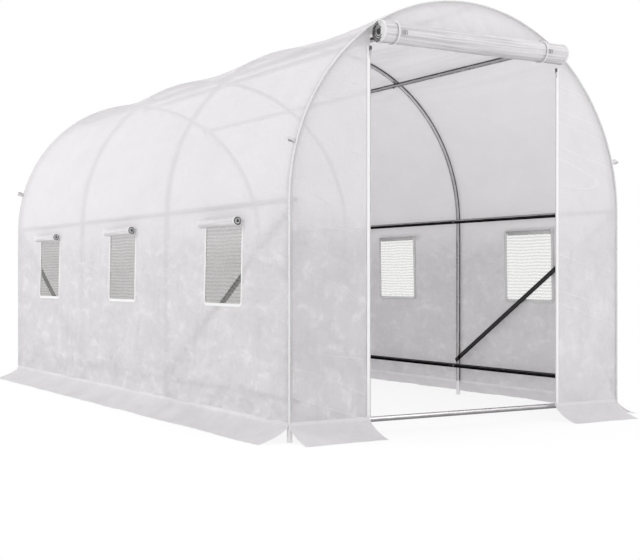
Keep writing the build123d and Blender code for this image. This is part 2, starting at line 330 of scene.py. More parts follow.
def span(nt, value, start, end, first=0.0, last=1.0, kind="LINEAR"):
    """A value mapped so that it goes from first to last between start and end."""
    return put(nt, "ShaderNodeMapRange", {"interpolation_type": kind}, Value=value, From_Min=start,
               From_Max=end, To_Min=first, To_Max=last).outputs[0]


def tinted(v, tint=COOL):
    """A grey of some lightness with a tint."""
    return tuple(v * part for part in tint)


def ramp(nt, fac, *stops):
    """A colour ramp from (place, lightness or colour) stops."""
    n = nt.nodes.new("ShaderNodeValToRGB")
    nt.links.new(fac, n.inputs[0])
    els = n.color_ramp.elements
    while len(els) < len(stops):
        els.new(0.5)
    for el, (place, colour) in zip(els, stops):
        el.position = place
        el.color = (*(colour if isinstance(colour, tuple) else tinted(colour, WHITE)), 1)
    return n.outputs[0]


def blend(nt, fac, a, b, how="MIX"):
    """Two colours mixed."""
    n = put(nt, "ShaderNodeMix", {"data_type": "RGBA", "blend_type": how})
    for k, value in zip((0, 6, 7), (fac, a, b)):
        feed(nt, n.inputs[k], value)
    return n.outputs[2]


def mixed(nt, fac, a, b):
    """Two shaders mixed: a where fac is 0, b where it is 1."""
    n = put(nt, "ShaderNodeMixShader", Fac=fac)
    nt.links.new(a.outputs[0], n.inputs[1])
    nt.links.new(b.outputs[0], n.inputs[2])
    return n


def grainy(nt, at, scale, detail, rough=0.5, flat=False, out="Fac"):
    """A Noise Texture, in two dimensions where flat."""
    return put(nt, "ShaderNodeTexNoise", {"noise_dimensions": "2D" if flat else "3D"}, Vector=at,
               Scale=scale, Detail=detail, Roughness=rough).outputs[out]


def mapped(nt, at, scale=(1.0, 1.0), turn=0.0):
    """A flat place scaled both ways and turned."""
    return put(nt, "ShaderNodeMapping", Vector=at, Scale=(*scale, 1.0),
               Rotation=(0, 0, turn)).outputs[0]


def bumped(nt, height, strength, distance):
    """A normal from a height."""
    return put(nt, "ShaderNodeBump", Strength=strength, Distance=distance,
               Height=height).outputs[0]


def coordinate(nt, kind):
    """Texture coordinates, and each of their parts by its letter."""
    at = nt.nodes.new("ShaderNodeTexCoord").outputs[kind]
    return at, put(nt, "ShaderNodeSeparateXYZ", Vector=at).outputs


def see_through(nt):
    """A shader that lets everything behind it show."""
    return put(nt, "ShaderNodeBsdfTransparent", Color=(1, 1, 1, 1))


# Materials. Colours of the film's marks, the pale ones painted highlights, and of the tubes'
# painted light on the side lit through the sheet and on the feet in the open
CRUMPLE_HIGHLIGHT = (0.94, 0.92, 0.938, 1)
THREAD = (0.85, 0.85, 0.85, 1)
FOLD_HIGHLIGHT = (0.985, 0.965, 0.983, 1)
LIT_ZINC = (0.50, 0.49, 0.50, 1)
OPEN_LIT_ZINC = (0.86, 0.85, 0.86, 1)


def scrim(nt, part):
    """Lines of the reinforcing threads, 1 on a thread and 0 between."""
    lines = []
    for axis in ("X", "Y"):
        k = calc(nt, "FRACT", calc(nt, "DIVIDE", part[axis], THREAD_PITCH))
        k = calc(nt, "ABSOLUTE", less(nt, k, 0.5))
        lines.append(calc(nt, "SMOOTH_MAX", times(nt, less(nt, k, 0.38), 8.0), 0.0, 0.05))
    return calc(nt, "MINIMUM", calc(nt, "MAXIMUM", *lines), 1.0)


def crumple_cells(nt, at, scale):
    """Soft-edged cells, as a crumpled sheet has."""
    kind = {"voronoi_dimensions": "2D", "feature": "SMOOTH_F1"}
    return put(nt, "ShaderNodeTexVoronoi", kind, Vector=at, Scale=scale,
               Smoothness=0.25).outputs["Distance"]


def fold_lines(nt, uv, cloud):
    """Thin slanting lines across a panel, patchy, 1 on a line and 0 between."""
    pulled = mapped(nt, mapped(nt, uv, turn=radians(14.0)), (0.8, 5.6))
    off = calc(nt, "ABSOLUTE", less(nt, grainy(nt, pulled, 1.0, 0.0, flat=True), 0.5))
    patches = ramp(nt, cloud, (0.34, 0.25), (0.62, 1.0))
    return times(nt, ramp(nt, off, (0.0, 1.0), (0.022, 0.0)), patches)


def film(name, through=0.28, clear=0.12, tone=0.90, crumple=1.0, shaded=0.83, wide=1.0,
         fold_highlight=0.0, streaks=False, skirt=False, ribs=0.0):
    """Reinforced translucent sheet, with UV as its flat place in metres.

    It has a soft sheen and a thread grid. Low down it is crumpled, darker with painted shade and
    harder to see through, and its crumples carry painted highlights. through is the light it passes
    on, clear how much of it is clear, shaded how dark the painted shade makes it low down and wide
    the shape of its crumples. The others are extra marks for some pieces, which carry painted
    highlights and painted shade.
    """
    mat, nt, out = new_material(name)
    uv, part = coordinate(nt, "UV")
    threads = scrim(nt, part)
    low = span(nt, part["Y"], *LOOK_FADE, 1.0, 0.10, kind="SMOOTHSTEP")
    rumple = times(nt, low, crumple)

    # Places pushed about a little, then stretched
    moved = put(nt, "ShaderNodeVectorMath", {"operation": "MULTIPLY_ADD"})
    drift = grainy(nt, uv, 6.0, 2.0, flat=True, out="Color")
    for socket, value in zip(moved.inputs, (drift, (0.07, 0.07, 0.0), uv)):
        feed(nt, socket, value)
    stretch = mapped(nt, moved.outputs[0], (0.9 / wide, 0.9 * wide))

    # Colour: clouds, painted shade low down, pale marks on the crumples as painted highlights,
    # threads
    cloud = grainy(nt, stretch, 5.0, 4.0, 0.62, flat=True)
    fine = grainy(nt, uv, 46.0, 3.0, 0.6, flat=True)
    blotch = add(nt, times(nt, cloud, 0.75), times(nt, fine, 0.25))
    # Painted shade: the sheet is painted darker low down, where less light reaches it
    low_shade_tone = tone * shaded
    bright = ramp(nt, blotch, (0.30, tinted(tone - 0.020)), (0.66, tinted(tone + 0.012)))
    low_painted_shade = ramp(nt, blotch, (0.34, tinted(low_shade_tone - 0.030)), (0.64, tinted(low_shade_tone + 0.035)))
    tint = blend(nt, low, bright, low_painted_shade)
    # Painted highlights: pale marks on the crumples stand in for glints on their facets
    crumple_highlights = ramp(nt, grainy(nt, stretch, 14.0, 4.0, 0.65, flat=True), (0.50, 0.0), (0.70, 1.0))
    crumple_highlights = times(nt, crumple_highlights, ramp(nt, cloud, (0.38, 0.30), (0.60, 1.0)), rumple, 0.55)
    tint = blend(nt, crumple_highlights, tint, CRUMPLE_HIGHLIGHT)
    tint = blend(nt, times(nt, threads, 0.65), tint, THREAD, "MULTIPLY")

    # Relief in metres
    relief = [times(nt, threads, 0.0003), times(nt, fine, 0.0009)]
    if fold_highlight:
        # Fold lines across the panel, left from its packing: a little relief, and a painted
        # highlight along each
        folds = fold_lines(nt, uv, cloud)
        tint = blend(nt, times(nt, folds, fold_highlight), tint, FOLD_HIGHLIGHT)
        relief.append(times(nt, folds, 0.0025))
    facets = add(nt, times(nt, crumple_cells(nt, stretch, 8.0), 0.0140),
                 times(nt, crumple_cells(nt, stretch, 21.0), 0.0045))
    relief.append(times(nt, facets, rumple))
    if streaks:
        # Pull lines along the crown, where the sheet hangs between the ridge and the shoulders: a
        # little relief, and darker streaks of painted shade
        crown = calc(nt, "ABSOLUTE", less(nt, part["Y"], WRAP / 2))
        near = span(nt, crown, 0.34, 0.92, 1.0, 0.0, kind="SMOOTHSTEP")
        pull = grainy(nt, mapped(nt, uv, (1.1, 15.0), radians(2.0)), 1.0, 3.0, 0.62, flat=True)
        tint = blend(nt, near, tint, ramp(nt, pull, (0.36, 0.865), (0.64, 0.965)), "MULTIPLY")
        relief.append(times(nt, pull, near, 0.0050))
    if skirt:
        # Painted highlight along the taut fold at the top, painted shade over the rest of the
        # skirt, and a darker line along the hem
        skirt_highlight_and_shade = ramp(nt, calc(nt, "DIVIDE", part["Y"], 0.2), (0.0, 1.0), (0.06, 1.0),
                    (0.10, 0.90), (0.915, 0.92), (0.925, 0.80), (0.94, 0.92))
        tint = blend(nt, 1.0, tint, skirt_highlight_and_shade, "MULTIPLY")
    if ribs:
        # Fine folds along the roll, with painted shade in the hollows between them
        rib = grainy(nt, mapped(nt, uv, (1.6, 95.0)), 1.0, 3.0, 0.6, flat=True)
        tint = blend(nt, 1.0, tint, ramp(nt, rib, (0.36, 0.76), (0.56, 1.0)), "MULTIPLY")
        relief.append(times(nt, rib, ribs))

    normal = bumped(nt, add(nt, *relief), 0.9, 1.0)
    rough = ramp(nt, fine, (0.3, 0.36), (0.7, 0.52))
    skin = put(nt, "ShaderNodeBsdfPrincipled", Base_Color=tint, Roughness=rough,
               Specular_IOR_Level=0.40, Normal=normal)
    glow = put(nt, "ShaderNodeBsdfTranslucent", Color=tint, Normal=normal)
    sheet = mixed(nt, through, skin, glow)
    if clear:
        sight = times(nt, less(nt, 1.0, times(nt, low, 0.7)), clear)
        sheet = mixed(nt, sight, sheet, see_through(nt))
    nt.links.new(sheet.outputs[0], out.inputs["Surface"])
    return mat


def zinc(name, light=0.64, dark=0.15, centre=None, bent=False, cut=0.50, glare=0.6, backed=True,
         feet=False):
    """Galvanised tube: mottled zinc, with painted shade on one side of it.

    centre is the height of the tube's middle, or its radius where it is bent over the tunnel,
    and cut is how far across the tube its painted shade starts: the outer side of a bent tube and
    the underside of a straight rail are painted darker.
    """
    mat, nt, out = new_material(name)
    at, part = coordinate(nt, "Object")
    flakes = put(nt, "ShaderNodeTexVoronoi", Vector=at, Scale=150.0).outputs["Distance"]
    cloud = grainy(nt, at, 16.0, 5.0, 0.65)
    fine = grainy(nt, at, 700.0, 2.0)
    # Painted shade: the tone runs across the tube, light on one side and dark on the other, and a
    # little darker again at the light side's edge; a tube without a centre gets random tone instead
    if centre is None:
        side = times(nt, cloud, 0.6)
    elif bent:
        rise = calc(nt, "MAXIMUM", less(nt, part["Z"], SPRING), 0.0)
        reach = add(nt, times(nt, rise, rise), times(nt, part["X"], part["X"]))
        outward = less(nt, calc(nt, "SQRT", reach), centre)
        side = add(nt, calc(nt, "DIVIDE", outward, 2 * TUBE_R), 0.5)
    else:
        outward = less(nt, calc(nt, "ABSOLUTE", part["X"]), RAIL_R)
        side = add(nt, calc(nt, "DIVIDE", less(nt, centre, part["Z"]), 2 * TUBE_R), 0.5)
    side = add(nt, side, times(nt, less(nt, cloud, 0.5), 0.30))
    tone = ramp(nt, side, (0.0, tinted(light * 0.5)), (0.10, tinted(light)),
                (cut - 0.08, tinted(light * 0.85)), (cut + 0.06, tinted(dark)),
                (1.0, tinted(dark * 0.8)))
    if centre is not None and backed:
        # Painted light: the side against the sheet is painted lighter, as if lit through it
        tone = blend(nt, span(nt, outward, 0.005, 0.011), tone, LIT_ZINC)
    if feet:
        # Painted light: the feet stand in the open, below the sheet, and are painted lighter for it
        lit_feet = span(nt, part["Z"], 0.080, 0.092, 1.0, 0.0)
        tone = blend(nt, lit_feet, tone, OPEN_LIT_ZINC)
    colour = blend(nt, 1.0, tone, ramp(nt, flakes, (0.0, 0.84), (0.6, 1.0)), "MULTIPLY")
    metal = put(nt, "ShaderNodeBsdfPrincipled", Base_Color=colour, Metallic=1.0,
                Roughness=ramp(nt, cloud, (0.3, 0.24), (0.7, 0.40)),
                Specular_Tint=(glare, glare, glare, 1),
                Normal=bumped(nt, add(nt, fine, cloud), 0.25, 0.0002))
    nt.links.new(metal.outputs[0], out.inputs["Surface"])
    return mat


def woven(name, tone, pitch, tint=COOL, spread=0.06, through=0.0):
    """Woven tape: crossing threads with a soft sheen."""
    mat, nt, out = new_material(name)
    at, part = coordinate(nt, "Object")
    waves = [calc(nt, "SINE", times(nt, part[k], pitch * 2)) for k in "XYZ"]
    weave = times(nt, add(nt, waves[0], waves[1]), waves[2])
    cloud = grainy(nt, at, 60.0, 4.0)
    colour = ramp(nt, cloud, (0.3, tinted(tone - spread, tint)), (0.7, tinted(tone, tint)))
    normal = bumped(nt, weave, 0.4, 0.0003)
    cloth = put(nt, "ShaderNodeBsdfPrincipled", Base_Color=colour, Roughness=0.75,
                Sheen_Weight=0.25, Normal=normal)
    if through:
        glow = put(nt, "ShaderNodeBsdfTranslucent", Color=colour, Normal=normal)
        cloth = mixed(nt, through, cloth, glow)
    nt.links.new(cloth.outputs[0], out.inputs["Surface"])
    return mat


def mesh_cloth(name):
    """Fine insect mesh that is partly seen through, with fainter and denser lines."""
    mat, nt, out = new_material(name)
    uv, part = coordinate(nt, "UV")
    row = add(nt, part["Y"], times(nt, grainy(nt, uv, 9.0, 1.0), 0.012))
    lines = add(nt, times(nt, calc(nt, "SINE", times(nt, row, 345.0)), 0.5), 0.5)
    grain = grainy(nt, uv, 240.0, 2.0)
    dense = add(nt, 0.22, times(nt, lines, 0.22))
    dense = add(nt, dense, times(nt, less(nt, grain, 0.5), 1.0))
    mottle = less(nt, grain, times(nt, lines, 0.42))
    tone = ramp(nt, mottle, (0.04, (0.42, 0.43, 0.40)), (0.40, (0.92, 0.92, 0.89)))
    face = put(nt, "ShaderNodeBsdfPrincipled", Base_Color=tone, Roughness=0.8)
    glow = put(nt, "ShaderNodeBsdfTranslucent", Color=tone)
    cloth = mixed(nt, 0.45, face, glow)
    mesh = mixed(nt, calc(nt, "MAXIMUM", dense, 0.06), see_through(nt), cloth)
    nt.links.new(mesh.outputs[0], out.inputs["Surface"])
    return mat


def plastic(name, tone, rough, tint=COOL):
    """Moulded or pressed plastic and painted metal with slight unevenness."""
    mat, nt, out = new_material(name)
    cloud = grainy(nt, coordinate(nt, "Object")[0], 90.0, 4.0)
    colour = ramp(nt, cloud, (0.3, tinted(tone * 0.9, tint)), (0.7, tinted(tone, tint)))
    body = put(nt, "ShaderNodeBsdfPrincipled", Base_Color=colour, Roughness=rough,
               Normal=bumped(nt, cloud, 0.2, 0.0002))
    nt.links.new(body.outputs[0], out.inputs["Surface"])
    return mat


COVER = film("cover_film", clear=0.15, streaks=True, wide=1.35)
END = film("end_film", crumple=1.1, shaded=0.81, wide=0.85, fold_highlight=0.35)
# Painted light: a copy with less painted shade low down, for the right panel
END_RIGHT = film("end_film_right", crumple=1.1, shaded=0.92, wide=0.85, fold_highlight=0.8)
# Painted light: a lighter copy, for the header
HEADER = film("header_film", tone=0.94, clear=0.08, fold_highlight=0.5)
SKIRT = film("skirt_film", clear=0.05, crumple=0.5, shaded=0.95, skirt=True)
# Painted light: a lighter copy, for the front skirts
SKIRT_FRONT = film("front_skirt_film", clear=0.05, tone=0.93, crumple=0.5, shaded=0.98, skirt=True)
WOUND = {"through": 0.12, "clear": 0.0, "crumple": 0.15, "shaded": 1.0}
ROLLED = film("rolled_film", tone=0.76, ribs=0.0010, **WOUND)
DOOR_ROLL = film("door_roll_film", tone=0.83, ribs=0.0034, **WOUND)
OVERHEAD = {"centre": HOOP_R, "bent": True, "cut": 0.46, "feet": True}
HOOP = zinc("zinc_hoop", dark=0.10, **OVERHEAD)
# Painted shade: a darker copy of the hoop zinc, for the third and back hoops
HOOP_SHADED = zinc("zinc_hoop_painted_shade", light=0.26, dark=0.08, **OVERHEAD)
PURLIN = zinc("zinc_purlin", centre=RAIL_R, bent=True, dark=0.08, cut=0.30)
# Painted light and shade: the rails, braces, bolts and ground rails are one zinc, each painted
# lighter or darker for where it stands
MID = zinc("zinc_mid_rail", light=0.60, dark=0.025, centre=MID_RAIL, cut=0.38, glare=0.2)
LOW = zinc("zinc_low_rail", light=0.14, dark=0.016, centre=LOW_RAIL, cut=0.30, glare=0.2)
BRACE = zinc("zinc_brace", light=0.055, dark=0.02, glare=0.2)
BASE = zinc("zinc_ground_rail", light=0.80, dark=0.30, centre=GROUND_RAIL, backed=False)
BOLT = zinc("zinc_bolt", light=0.22, dark=0.10)
BINDING = plastic("white_binding", 0.84, 0.5, WHITE)
TAPE = woven("white_tape", 0.90, 700.0, WHITE, 0.02, through=0.12)
ZIP_TAPE = woven("zip_tape_white", 0.99, 700.0, WHITE, 0.02, through=0.08)
STRAP = woven("grey_webbing", 0.66, 500.0)
CORD = woven("tie_cord", 0.78, 600.0, WHITE)
MESH = mesh_cloth("insect_mesh")
COIL = plastic("zip_coil", 0.62, 0.35)
# Painted shade: near-black coils at the ends of the rolls
END_SHADE = plastic("flap_end_shade_coil", 0.05, 0.45)
SLIDER = plastic("zip_slider", 0.10, 0.3)
BUCKLE = plastic("tie_buckle", 0.36, 0.4)


# Frame: the solids keep their shape and get the zinc, the third and back hoops the copy with
# painted shade
dressed = dict(zip(HOOPS, (HOOP, HOOP, HOOP_SHADED, HOOP_SHADED)))
dressed.update({name: PURLIN for name in PURLINS})
for end in ("front", "back"):
    dressed[end + "_ground_rail"] = BASE
for _, word in SIDES:
    dressed[word + "_mid_rail"] = MID
    dressed[word + "_low_rail"] = LOW
    dressed[word + "_front_brace"] = BRACE
    dressed[word + "_back_brace"] = BRACE
dressed["door_ties"] = CORD
for name, mat in dressed.items():
    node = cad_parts[name]
    node.data.materials.clear()
    node.data.materials.append(mat)


# Cover: the roof, then both walls
along = steps(-HALF_L, *HOOP_Y, HALF_L, size=ROOF_STEP)
y, a = np.meshgrid(along, steps(0, pi, size=ARCH_STEP))
s = SPRING + a * HALF_W
r = SKIN - cover_depth(y, s)
roof = add_sheet("roof_sheet", np.stack([-r * np.cos(a), y, SPRING + r * np.sin(a)], -1),
                 np.stack([y, s], -1), COVER)
fit(roof, "roof_cover")

marks = [-HALF_L, HOOP_Y[0]]
for centre, hoop in zip(BAY_MID, HOOP_Y[1:]):
    marks += [centre - WIN_HALF, centre + WIN_HALF, hoop]
y, z = np.meshgrid(steps(*marks, HALF_L, size=WALL_STEP),
                   steps(FOLD, WIN_SILL, WIN_TOP, SPRING, size=WALL_STEP))
mid_y = (y[:-1, :-1] + y[1:, 1:]) / 2
mid_z = (z[:-1, :-1] + z[1:, 1:]) / 2
opening = np.zeros(mid_y.shape, bool)
for centre in BAY_MID:
    opening |= (np.abs(mid_y - centre) < WIN_HALF) & (mid_z > WIN_SILL) & (mid_z < WIN_TOP)
for side, word in SIDES:
    wall = add_sheet(word + "_wall_sheet", np.stack([wall_x(side, y, z), y, z], -1),
                     np.stack([y, z], -1), COVER, opening)
    fit(wall, word + "_wall")


# End panels
def arch_top(x):
    """Height of an end's arch at a place across it."""
    return SPRING + np.sqrt(np.maximum(END_R ** 2 - x ** 2, 0))


def end_sheet(name, node, end, x0, x1, foot, seed, amount=1.0, mat=END):
    """A flat end panel under the arch, from x0 to x1 and from its foot up."""
    count = len(steps(x0, x1, size=END_STEP))
    xs = np.sin(np.linspace(asin(x0 / END_R), asin(x1 / END_R), count)) * END_R
    ts = steps(0, 1, size=HEADER_STEP if foot > FOLD else END_STEP / 1.4)
    x, t = np.meshgrid(xs, ts)
    z = foot + t * (arch_top(x) - foot)
    # Held flat along the seams, and by the zip beside the doorway
    seam, most = 0.08, 0.006
    edge = np.minimum(END_R - np.hypot(x, np.maximum(z - SPRING, 0)), seam) / seam
    free = np.clip(edge, 0, 1) * smooth(0, 0.06, z - FOLD)
    if end < 0 and foot == FOLD:
        free = free * smooth(0.016, 0.075, np.abs(x) - DOOR)
    y = end * (END_SKIN - free * np.clip(end_wrinkles(x, z, seed, amount), -most, most))
    sheet = add_sheet(name, np.stack([x, y, z], -1), np.stack([x, z], -1), mat)
    fit(sheet, node)


end_sheet("back_panel_sheet", "back_panel", 1, -END_R, END_R, FOLD, 31)
end_sheet("front_left_sheet", "front_left_panel", -1, -END_R, -DOOR, FOLD, 41)
end_sheet("front_right_sheet", "front_right_panel", -1, DOOR, END_R, FOLD, 51,
          1.5, END_RIGHT)
end_sheet("front_header_sheet", "front_header", -1, -DOOR, DOOR, DOOR_TOP, 61,
          1.6, HEADER)


# Ground skirts
def flare(k):
    """A skirt's section at k from 0 at the fold to 1 at its hem.

    Gives how far out and how high it is, how far along its section and its slope.
    """
    a0, a1 = (radians(d) for d in FLARE_DEG)
    l0, l1 = FLARE[0] * a0, FLARE[1] * (a1 - a0)
    run = k * (l0 + l1)
    a = np.where(run < l0, run / FLARE[0], a0 + (run - l0) / FLARE[1])
    bend = np.minimum(a, a0)
    past = a > a0
    out = FLARE[0] * (1 - np.cos(bend)) + FLARE[1] * (np.cos(bend) - np.cos(a)) * past
    down = FLARE[0] * np.sin(bend) + FLARE[1] * (np.sin(a) - np.sin(bend)) * past
    return out, FOLD - down, run, a


def skirt(node, start, along, outward, length, seed, mat=SKIRT):
    """A ground skirt along one side: start at the fold, carried along its wall."""
    w, k = np.meshgrid(steps(0, length, size=SKIRT_STEP), steps(0, 1, size=0.05))
    out, z, run, a = flare(k)
    wave = 0.0030 * noise(w / 0.16, k / 0.8, seed)
    wave = wave + 0.0022 * creases(w / 0.07 + 0.4 * k, k / 1.4, seed + 1)
    wave = wave * smooth(0, 0.35, k)
    out = out + 0.004 * noise(w / 0.30, k, seed + 2) * smooth(0.2, 1, k)
    start, along, outward = (np.array(v, float) for v in (start, along, outward))
    pts = start + w[..., None] * along + out[..., None] * outward
    pts[..., 2] = np.maximum(z + wave * np.sin(a), 0.0010)
    sheet = add_sheet(node + "_sheet", pts, np.stack([w, run], -1), mat)
    fit(sheet, node)


skirt("left_skirt", (-SKIN, -HALF_L, 0), (0, 1, 0), (-1, 0, 0), 2 * HALF_L, 71)
skirt("right_skirt", (SKIN, -HALF_L, 0), (0, 1, 0), (1, 0, 0), 2 * HALF_L, 74)
skirt("back_skirt", (-END_R, END_SKIN, 0), (1, 0, 0), (0, 1, 0), 2 * END_R, 77)
for word, start, seed in (("left", -END_R, 80), ("right", DOOR, 83)):
    skirt("front_" + word + "_skirt", (start, -END_SKIN, 0), (1, 0, 0), (0, -1, 0), END_R - DOOR,
          seed, SKIRT_FRONT)


# Piping: a welt with a flat flange along each end arch
def arch_path(radius, step=0.03):
    """Places along an end's outline, with the direction away from the middle."""
    legs = steps(FOLD - 0.014, SPRING, size=step)
    turns = steps(0, pi, size=step)
    left = [(-radius, z, -1.0, 0.0) for z in legs[:-1]]
    over = [(-radius * cos(t), SPRING + radius * sin(t), -cos(t), sin(t)) for t in turns]
    right = [(radius, z, 1.0, 0.0) for z in legs[::-1][1:]]
    return np.array(left + over + right)


def piping(word, end):
    """The bound seam along an end."""
    x, z, away_x, away_z = arch_path(HALF_W - 0.0032).T
    centre = np.stack([x, np.full(len(x), end * HALF_L), z], -1)
    away = np.stack([away_x, np.zeros(len(x)), away_z], -1)
    front = np.tile([0.0, end, 0.0], (len(x), 1))
    bead = [(0.0030 * cos(t), 0.0012 + 0.0026 * sin(t)) for t in np.linspace(-0.6, pi + 0.35, 10)]
    flange = [(-0.0060, 0.0008), (-0.0066, 0.0002)]
    pts = swept(centre, away, front, bead + flange)
    rows, cols = pts.shape[:2]
    obj = add_mesh(word + "_piping_welt", pts.reshape(-1, 3), grid_faces(rows, cols, closed=True),
                   BINDING, np.zeros((rows * cols, 2)))
    fit(obj, word + "_piping")


piping("front", -1)
piping("back", 1)


# Rolls: each flap is one sheet wound up on itself. A winding is its inner and outer radius, its
# turns and the angle where it starts.
Roll = namedtuple("Roll", "at axis outward hand")
LOBES = 0.0008


def wind(roll, winding, per_turn):
    """Angles, radii and directions from the axis along a winding, from its outer end in."""
    inner, outer, turns, phase = winding
    t = np.linspace(0, 1, int(turns * per_turn) + 1)
    angle = phase + 2 * pi * turns * t
    away = np.cos(roll.hand * angle)[:, None] * roll.outward
    return angle, outer + (inner - outer) * t, away + np.sin(roll.hand * angle)[:, None] * UP


def wound_flap(name, node, roll, winding, half, mat, seed, ripple, step, per_turn, tail=()):
    """A sheet wound up on a roll; tail points (across, up) lead off its outer end."""
    angle, radius, _ = wind(roll, winding, per_turn)
    along = steps(-half, half, size=step)
    w, i = np.meshgrid(along, np.arange(len(angle)))
    turn, share = angle[i], radius[i] / winding[1]
    r = radius[i] + LOBES * np.sin(2 * turn + 1.3) * share
    r = r + ripple * noise(turn * 2.2, w / 0.35, seed) * share
    across, up = r * np.cos(roll.hand * turn), r * np.sin(roll.hand * turn)
    if tail:
        lead = np.array(tail)
        tail_w, tail_i = np.meshgrid(along, np.arange(len(lead)))
        across = np.concatenate([lead[tail_i, 0], across])
        up = np.concatenate([lead[tail_i, 1], up])
        w = np.concatenate([tail_w, w])
    pts = roll.at + w[..., None] * roll.axis + across[..., None] * roll.outward
    pts = pts + up[..., None] * UP
    span_up = np.hypot(np.diff(across[:, 0]), np.diff(up[:, 0]))
    run = np.concatenate([[0], np.cumsum(span_up)])
    uv = np.stack([w, np.tile(run[:, None], (1, len(along)))], -1)
    sheet = add_sheet(name, pts, uv, mat)
    fit(sheet, node)


def end_shade_coils(name, node, roll, reach, windings, per_turn):
    """Painted shade at a rolled flap's ends: dark coils at each end of the roll, each with its
    thickness, for the shade in its hollow and between its windings.
    """
    ring = np.linspace(0, 2 * pi, 5, endpoint=False)
    pts, faces = [], []
    for *winding, thick in windings:
        angle, radius, away = wind(roll, winding, per_turn)
        teeth = thick * (1 + 0.22 * np.sin(np.arange(len(angle)) * pi / 1.5))[:, None]
        for end in (-1, 1):
            base = roll.at + end * reach * roll.axis + radius[:, None] * away
            loop = base[:, None, :] + (teeth * np.cos(ring))[..., None] * away[:, None, :]
            loop = loop + (teeth * np.sin(ring))[..., None] * roll.axis
            faces += (grid_faces(len(angle), len(ring), closed=True) + len(pts)).tolist()
            pts += loop.reshape(-1, 3).tolist()
    fit(add_mesh(name, pts, faces, END_SHADE), node)


def bound_edges(name, node, roll, winding, inside, outside, thick, per_turn):
    """White tape bound over a flap's side edges, from inside to outside of each, and wound up."""
    angle, radius, away = wind(roll, winding, per_turn)
    pts, faces = [], []
    for end in (-1, 1):
        a, b, soft = end * inside, end * outside, end * 0.0005
        ring = [(-0.5, a), (0.5, a), (0.5, b - soft), (0.36, b), (-0.36, b), (-0.5, b - soft)]
        loop = np.stack([roll.at + along * roll.axis + (radius + off * thick)[:, None] * away
                         for off, along in ring], 1)
        faces += (grid_faces(len(angle), len(ring), closed=True) + len(pts)).tolist()
        faces += [[len(pts) + k for k in range(len(ring))]]
        pts += loop.reshape(-1, 3).tolist()
    fit(add_mesh(name, pts, faces, TAPE), node)


TAPE_DROP = 0.0008
DOOR_CORE, DOOR_ROLL_R, DOOR_TURNS = 0.014, 0.0525, 7.5
DOOR_TAIL = [(-0.0585, -0.004), (-0.052, 0.030), (-0.030, 0.0500)]
# Painted shade at the door roll's ends: dark coils, each a winding and its thickness
DOOR_SHADE_COILS = [(0.0465, 0.0500, 0.46, 1.7, 0.0022), (0.0385, 0.0440, 0.52, 1.3, 0.0023),
              (0.0310, 0.0370, 0.60, 1.0, 0.0024), (0.0210, 0.0280, 0.80, 0.7, 0.0023),
              (0.0050, 0.0170, 2.2, 0.6, 0.0024)]
door = Roll(np.array([0, -2.068, 1.857]), np.array([1.0, 0, 0]), np.array([0, -1.0, 0]), -1)
wound_flap("door_flap", "door_roll", door, (DOOR_CORE, DOOR_ROLL_R, DOOR_TURNS, pi / 2), 0.546,
           DOOR_ROLL, 91, ripple=0.0014, step=0.02, per_turn=40, tail=DOOR_TAIL)
bound_edges("door_flap_edges", "door_roll", door,
            (DOOR_CORE, DOOR_ROLL_R - TAPE_DROP, DOOR_TURNS, pi / 2), 0.545, 0.5585, thick=0.0034,
            per_turn=40)
end_shade_coils("door_flap_shade_coil", "door_roll", door, 0.5590, DOOR_SHADE_COILS, per_turn=34)

FLAP_CORE, FLAP_R, FLAP_TURNS = 0.007, 0.0240, 3.6
# Painted shade at the window rolls' ends: a dark ring and a near-black core, each a winding and its
# thickness
FLAP_SHADE_COILS = [(0.0148, 0.0182, 1.05, 0.6, 0.0020), (0.0010, 0.0062, 1.8, 0.0, 0.0022)]
for side, word in SIDES:
    start = pi * 0.9 if side > 0 else pi * 0.1
    node = word + "_window_flaps"
    for k, centre in enumerate(BAY_MID):
        roll = Roll(np.array([side * 1.007, centre, WIN_TOP + 0.002]), np.array([0, 1.0, 0]),
                    np.array([1.0, 0, 0]), side)
        name = word + "_window_flap_%s%d"
        wound_flap(name % ("", k + 1), node, roll, (FLAP_CORE, FLAP_R, FLAP_TURNS, start), 0.197,
                   ROLLED, 101 + k, ripple=0.0012, step=0.025, per_turn=28)
        bound_edges(name % ("edges_", k + 1), node, roll,
                    (FLAP_CORE, FLAP_R - TAPE_DROP, FLAP_TURNS, start), 0.193, 0.2035,
                    thick=0.0036, per_turn=24)
        end_shade_coils(name % ("shade_coil_", k + 1), node, roll, 0.2042, FLAP_SHADE_COILS, per_turn=26)


def roll_buckle(name, x):
    """A small frame buckle on a tie, lying on the roll, with a bar across its middle."""
    tilt, thick = -0.08, 0.0018
    lift = np.array([0, -cos(tilt), sin(tilt)])
    flat = np.array([0, sin(tilt), cos(tilt)])
    centre = np.array([x, door.at[1], door.at[2]]) + lift * (DOOR_ROLL_R + 0.0026)
    rim = rectangle(0.014, 0.009) + rectangle(0.011, 0.006)
    pts = []
    for outline in (rim, rectangle(0.002, 0.0062)):
        pts += [centre + door.axis * a + flat * b + lift * off
                for off, (a, b) in product((0.0, thick), outline)]
    faces = []
    for k in range(4):
        m = (k + 1) % 4
        faces += [[k, m, m + 4, k + 4], [k + 8, k + 12, m + 12, m + 8], [k, k + 8, m + 8, m],
                  [k + 4, m + 4, m + 12, k + 12]]
    bar = ((0, 1, 2, 3), (7, 6, 5, 4), (0, 4, 5, 1), (1, 5, 6, 2), (2, 6, 7, 3), (3, 7, 4, 0))
    faces += [[2 * len(rim) + i for i in f] for f in bar]
    fit(add_mesh(name, pts, faces, BUCKLE, smooth=False))


roll_buckle("left_tie_buckle", -0.450)
roll_buckle("right_tie_buckle", 0.430)


